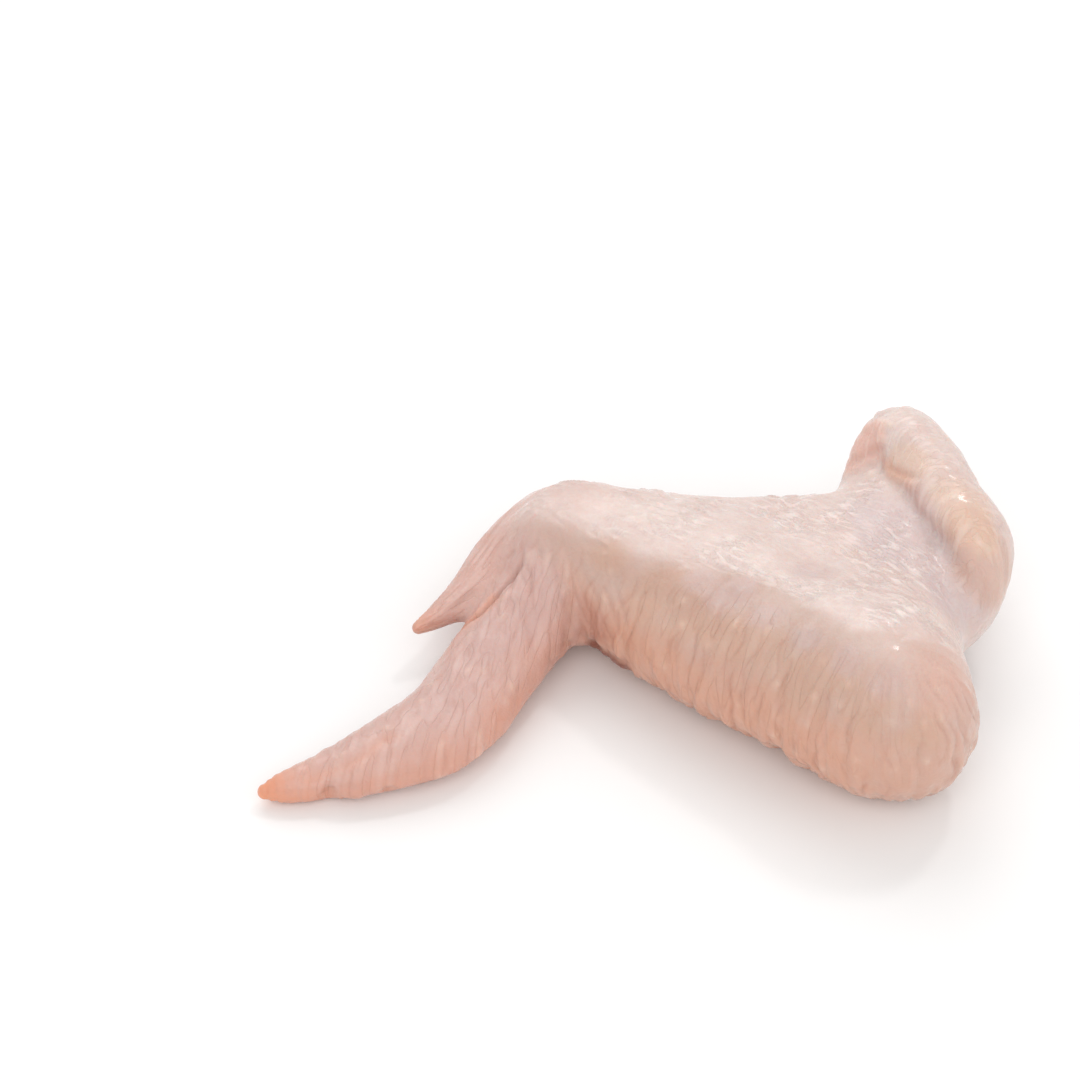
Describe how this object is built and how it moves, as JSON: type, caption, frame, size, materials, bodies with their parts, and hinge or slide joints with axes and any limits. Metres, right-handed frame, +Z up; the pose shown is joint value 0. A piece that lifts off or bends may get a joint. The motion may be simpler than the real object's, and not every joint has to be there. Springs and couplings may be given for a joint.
{
  "type": "raw chicken wing",
  "caption": "Whole raw chicken wing lying skin side up, with tip, thumb, forearm, drumette and stretched skin web, bent open at the wrist and folded at the elbow.",
  "frame": {"origin": "on the surface the wing lies on, under the middle of its bounding box", "axes": "+Z up out of the skin side, +X from the wing tip towards the elbow and the cut end, +Y from the elbow towards the web's free edge"},
  "size_m": [0.143, 0.0866, 0.0347],
  "materials": {
    "skin": "moist raw poultry skin"
  },
  "bodies": {
    "root": {"wing_skin": "skin"}
  },
  "joints": []
}
